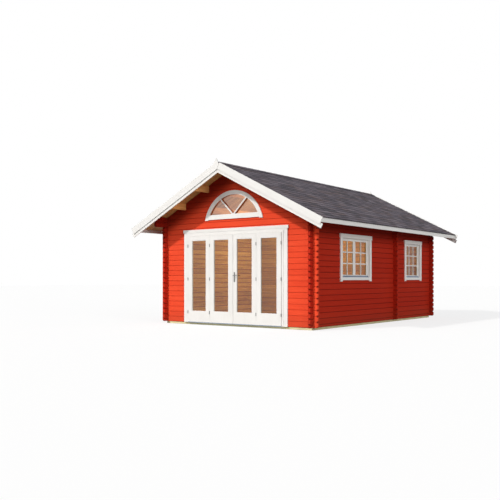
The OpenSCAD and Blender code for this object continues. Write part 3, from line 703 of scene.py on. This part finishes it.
def soffit_boards():
    """Tongued boards from the eaves to the ridge, with a small V at each joint below."""
    groove = 0.0045
    run = (SOFFIT_HIGH.x - SOFFIT_LOW.x) / math.cos(PITCH)
    verge = SOFFIT_HIGH.y
    board = stick("soffit_boards_right", (0, -verge + FIT, 0), (run, PLANK_W - verge - FIT, PLANK_T))
    ease(board, lambda mid, way: runs(way, "x") and mid.z < PLANK_T / 2, groove)
    repeat(board, math.ceil(2 * verge / PLANK_W), (0, PLANK_W, 0))
    saw(board, (0, verge, 0), (0, 1, 0))
    set_in(board, PITCH, (SOFFIT_LOW.x, 0, SOFFIT_HIGH.z - PLANK_T / math.cos(PITCH)))
    saw(board, (SOFFIT_LOW.x, 0, 0), (-1, 0, 0))
    saw(board, (SOFFIT_HIGH.x, 0, 0), (1, 0, 0))
    done(mirrored(board, "soffit_boards_left"), pine_soffit, "pine", "roof_boards_left")
    done(board, pine_soffit, "pine", "roof_boards_right")


# Floor

def floor_boards():
    """Floor boards along the cabin in both rooms, with eased edges."""
    joint, rounding = 0.0006, 0.0015
    low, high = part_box("floor_deck")
    wall_front, wall_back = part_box("inner_wall")
    rooms = []
    for start, end in ((low.y, wall_front.y - DECK_GAP), (wall_back.y + DECK_GAP, high.y)):
        board = stick("floor_boards", (low.x, start, low.z), (low.x + FLOOR_W - joint, end, high.z))
        ease(board, lambda mid, way: runs(way, "y") and mid.z > high.z - NEAR, rounding)
        repeat(board, round((high.x - low.x) / FLOOR_W), (FLOOR_W, 0, 0))
        rooms.append(board)
    done(joined("floor_boards", rooms), pine_floor, "pine", "floor_deck")


# Glazing bars

def sash_bars(name, sash_node, sash_count, glass_node, upright_count):
    """Upright and level bars on both sides of each pane, moulded along their outer edges."""
    level_count, half, set_back, moulding = 2, SASH_BAR_W / 2, 0.001, 0.005
    low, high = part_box(sash_node)
    glass_low, glass_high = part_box(glass_node)
    width = (high.y - low.y - SASH_GAP * (sash_count - 1)) / sash_count
    z0, z1 = low.z + SASH_W, high.z - SASH_W
    bars = []
    for i in range(sash_count):
        y0 = low.y + i * (width + SASH_GAP) + SASH_W
        y1 = y0 + width - 2 * SASH_W
        for inner, outer in ((glass_high.x + FIT, high.x - set_back), (glass_low.x - FIT, low.x + set_back)):
            x0, x1 = sorted((inner, outer))
            for n in range(1, upright_count + 1):
                y = y0 + (y1 - y0) * n / (upright_count + 1)
                bar = stick("bar", (x0, y - half, z0), (x1, y + half, z1))
                ease(bar, lambda mid, way: runs(way, "z") and abs(mid.x - outer) < NEAR, moulding, 2)
                bars.append(bar)
            for n in range(1, level_count + 1):
                z = z0 + (z1 - z0) * n / (level_count + 1)
                bar = stick("bar", (x0, y0, z - half), (x1, y1, z + half))
                ease(bar, lambda mid, way: runs(way, "y") and abs(mid.x - outer) < NEAR, moulding, 2)
                bars.append(bar)
    done(joined(name, bars), white_side, "white_paint")


def arch_bars(name, face, back, wide, finish, slot):
    """Two bars that spread from the middle of the sill to the arch, eased in front and mitred together."""
    spare, rim_x, rim_drop = 0.1, 0.362, 0.092
    frame_low, frame_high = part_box("arch_window_frame")
    sill = frame_low.z + ARCH_FRAME_W
    crown = frame_high.z - ARCH_FRAME_W
    centre = Vector((0, 0, crown - ARCH_R))
    rim = Vector((rim_x, 0, crown - rim_drop))
    foot = Vector((0, 0, rim.z - rim.x))
    y0, y1 = sorted((face, back))
    bar = stick(name, (-spare, y0, -wide / 2), ((rim - foot).length + spare, y1, wide / 2))
    ease(bar, lambda mid, way: runs(way, "x") and abs(mid.y - face) < NEAR, ARCH_BAR_ROUND, 2)
    set_in(bar, -math.radians(45), foot)
    saw(bar, rim, (rim - centre).normalized())
    saw(bar, (FIT / 2, 0, 0), (-1, 0, 0))
    saw(bar, (0, 0, sill + FIT), (0, 0, -1))
    done(joined(name, [bar, mirrored(bar, "bar")]), finish, slot)


shingle_tabs()
ridge_tabs()
soffit_boards()
floor_boards()
sash_bars("twin_window_bars", "twin_window_sashes", 2, "twin_window_glass", 1)
sash_bars("single_window_bars", "single_window_sash", 1, "single_window_glass", 2)
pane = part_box("arch_window_glass")
arch_bars("arch_window_bars", ARCH_BAR_Y, pane[0].y - FIT, ARCH_BAR_W, white_bars, "white_paint")
arch_bars("arch_window_inner_bars", FRONT_IN_Y - ARCH_INNER_BAR_BACK, pane[1].y + FIT, ARCH_INNER_BAR_W,
          pine_bar, "pine")


# Stage, light and camera

def put(name, data):
    thing = bpy.data.objects.new(name, data)
    bpy.context.scene.collection.objects.link(thing)
    return thing


def pale_floor():
    """A floor that keeps the shadow, is seen nearly white and sends little light back to the walls."""
    deselect()
    bpy.ops.mesh.primitive_plane_add(size=160, location=(0, 0, 0))
    floor = bpy.context.object
    floor.name = "floor"
    f = Finish("pale_floor")
    seen = f.sees_white()
    colour = f.blend(seen, rgba(0.34, 0.335, 0.33), rgba(0.97, 0.97, 0.97))
    ground = f.add("BsdfDiffuse", {}, {"Color": colour})
    white = f.add("Emission", {}, {"Color": rgba(1, 1, 1), "Strength": 1.0})
    floor.data.materials.append(f.close(f.add("MixShader", {}, {0: seen * 0.78, 1: ground, 2: white})))


def studio():
    """Soft light from all round, with a white backdrop."""
    world = bpy.data.worlds.new("studio")
    bpy.context.scene.world = world
    room = Wiring(world)
    soft = room.add("Background", {}, {"Color": rgba(0.93, 0.96, 1.0), "Strength": 0.38})
    white = room.add("Background", {}, {"Color": rgba(1, 1, 1), "Strength": 1.0})
    both = room.add("MixShader", {}, {0: room.sees_white(), 1: soft, 2: white})
    room.add("OutputWorld", {}, {"Surface": both})


def lamps():
    """A sun, two fills and a light in each room. A sun has a strength, a spread, a tint and a direction."""
    for name, strength, spread, tint, way in (
            ("sun", 2.45, 3, (1.0, 0.975, 0.94), (0.293, 0.749, -0.595)),
            ("front_fill", 0.66, 34, (1.0, 0.99, 0.97), (0.26, 0.92, -0.30)),
            ("side_fill", 0.88, 26, (1.0, 0.99, 0.97), (-0.88, 0.36, -0.30))):
        lamp = bpy.data.lights.new(name, "SUN")
        lamp.energy, lamp.angle, lamp.color = strength, math.radians(spread), tint
        put(name, lamp).rotation_euler = Vector(way).to_track_quat("-Z", "Y").to_euler()
    for place, power in (((0.0, -0.6, 2.35), 76), ((0.0, 1.9, 2.25), 52)):
        glow = bpy.data.lights.new("room_light", "POINT")
        glow.energy, glow.shadow_soft_size, glow.color = power, 0.35, (1.0, 0.93, 0.82)
        bulb = put("room_light", glow)
        bulb.location = place
        bulb.visible_camera = False


def camera():
    lens = bpy.data.cameras.new("camera")
    lens.lens, lens.sensor_width = 50, 36
    lens.shift_x, lens.shift_y = -0.0016, 0.0572
    eye = put("camera", lens)
    eye.location = (9.590, -15.218, 1.067)
    eye.rotation_euler = (math.radians(90), 0, math.radians(36.82))
    bpy.context.scene.camera = eye
    bpy.context.scene.view_settings.view_transform = "Standard"


pale_floor()
studio()
lamps()
camera()
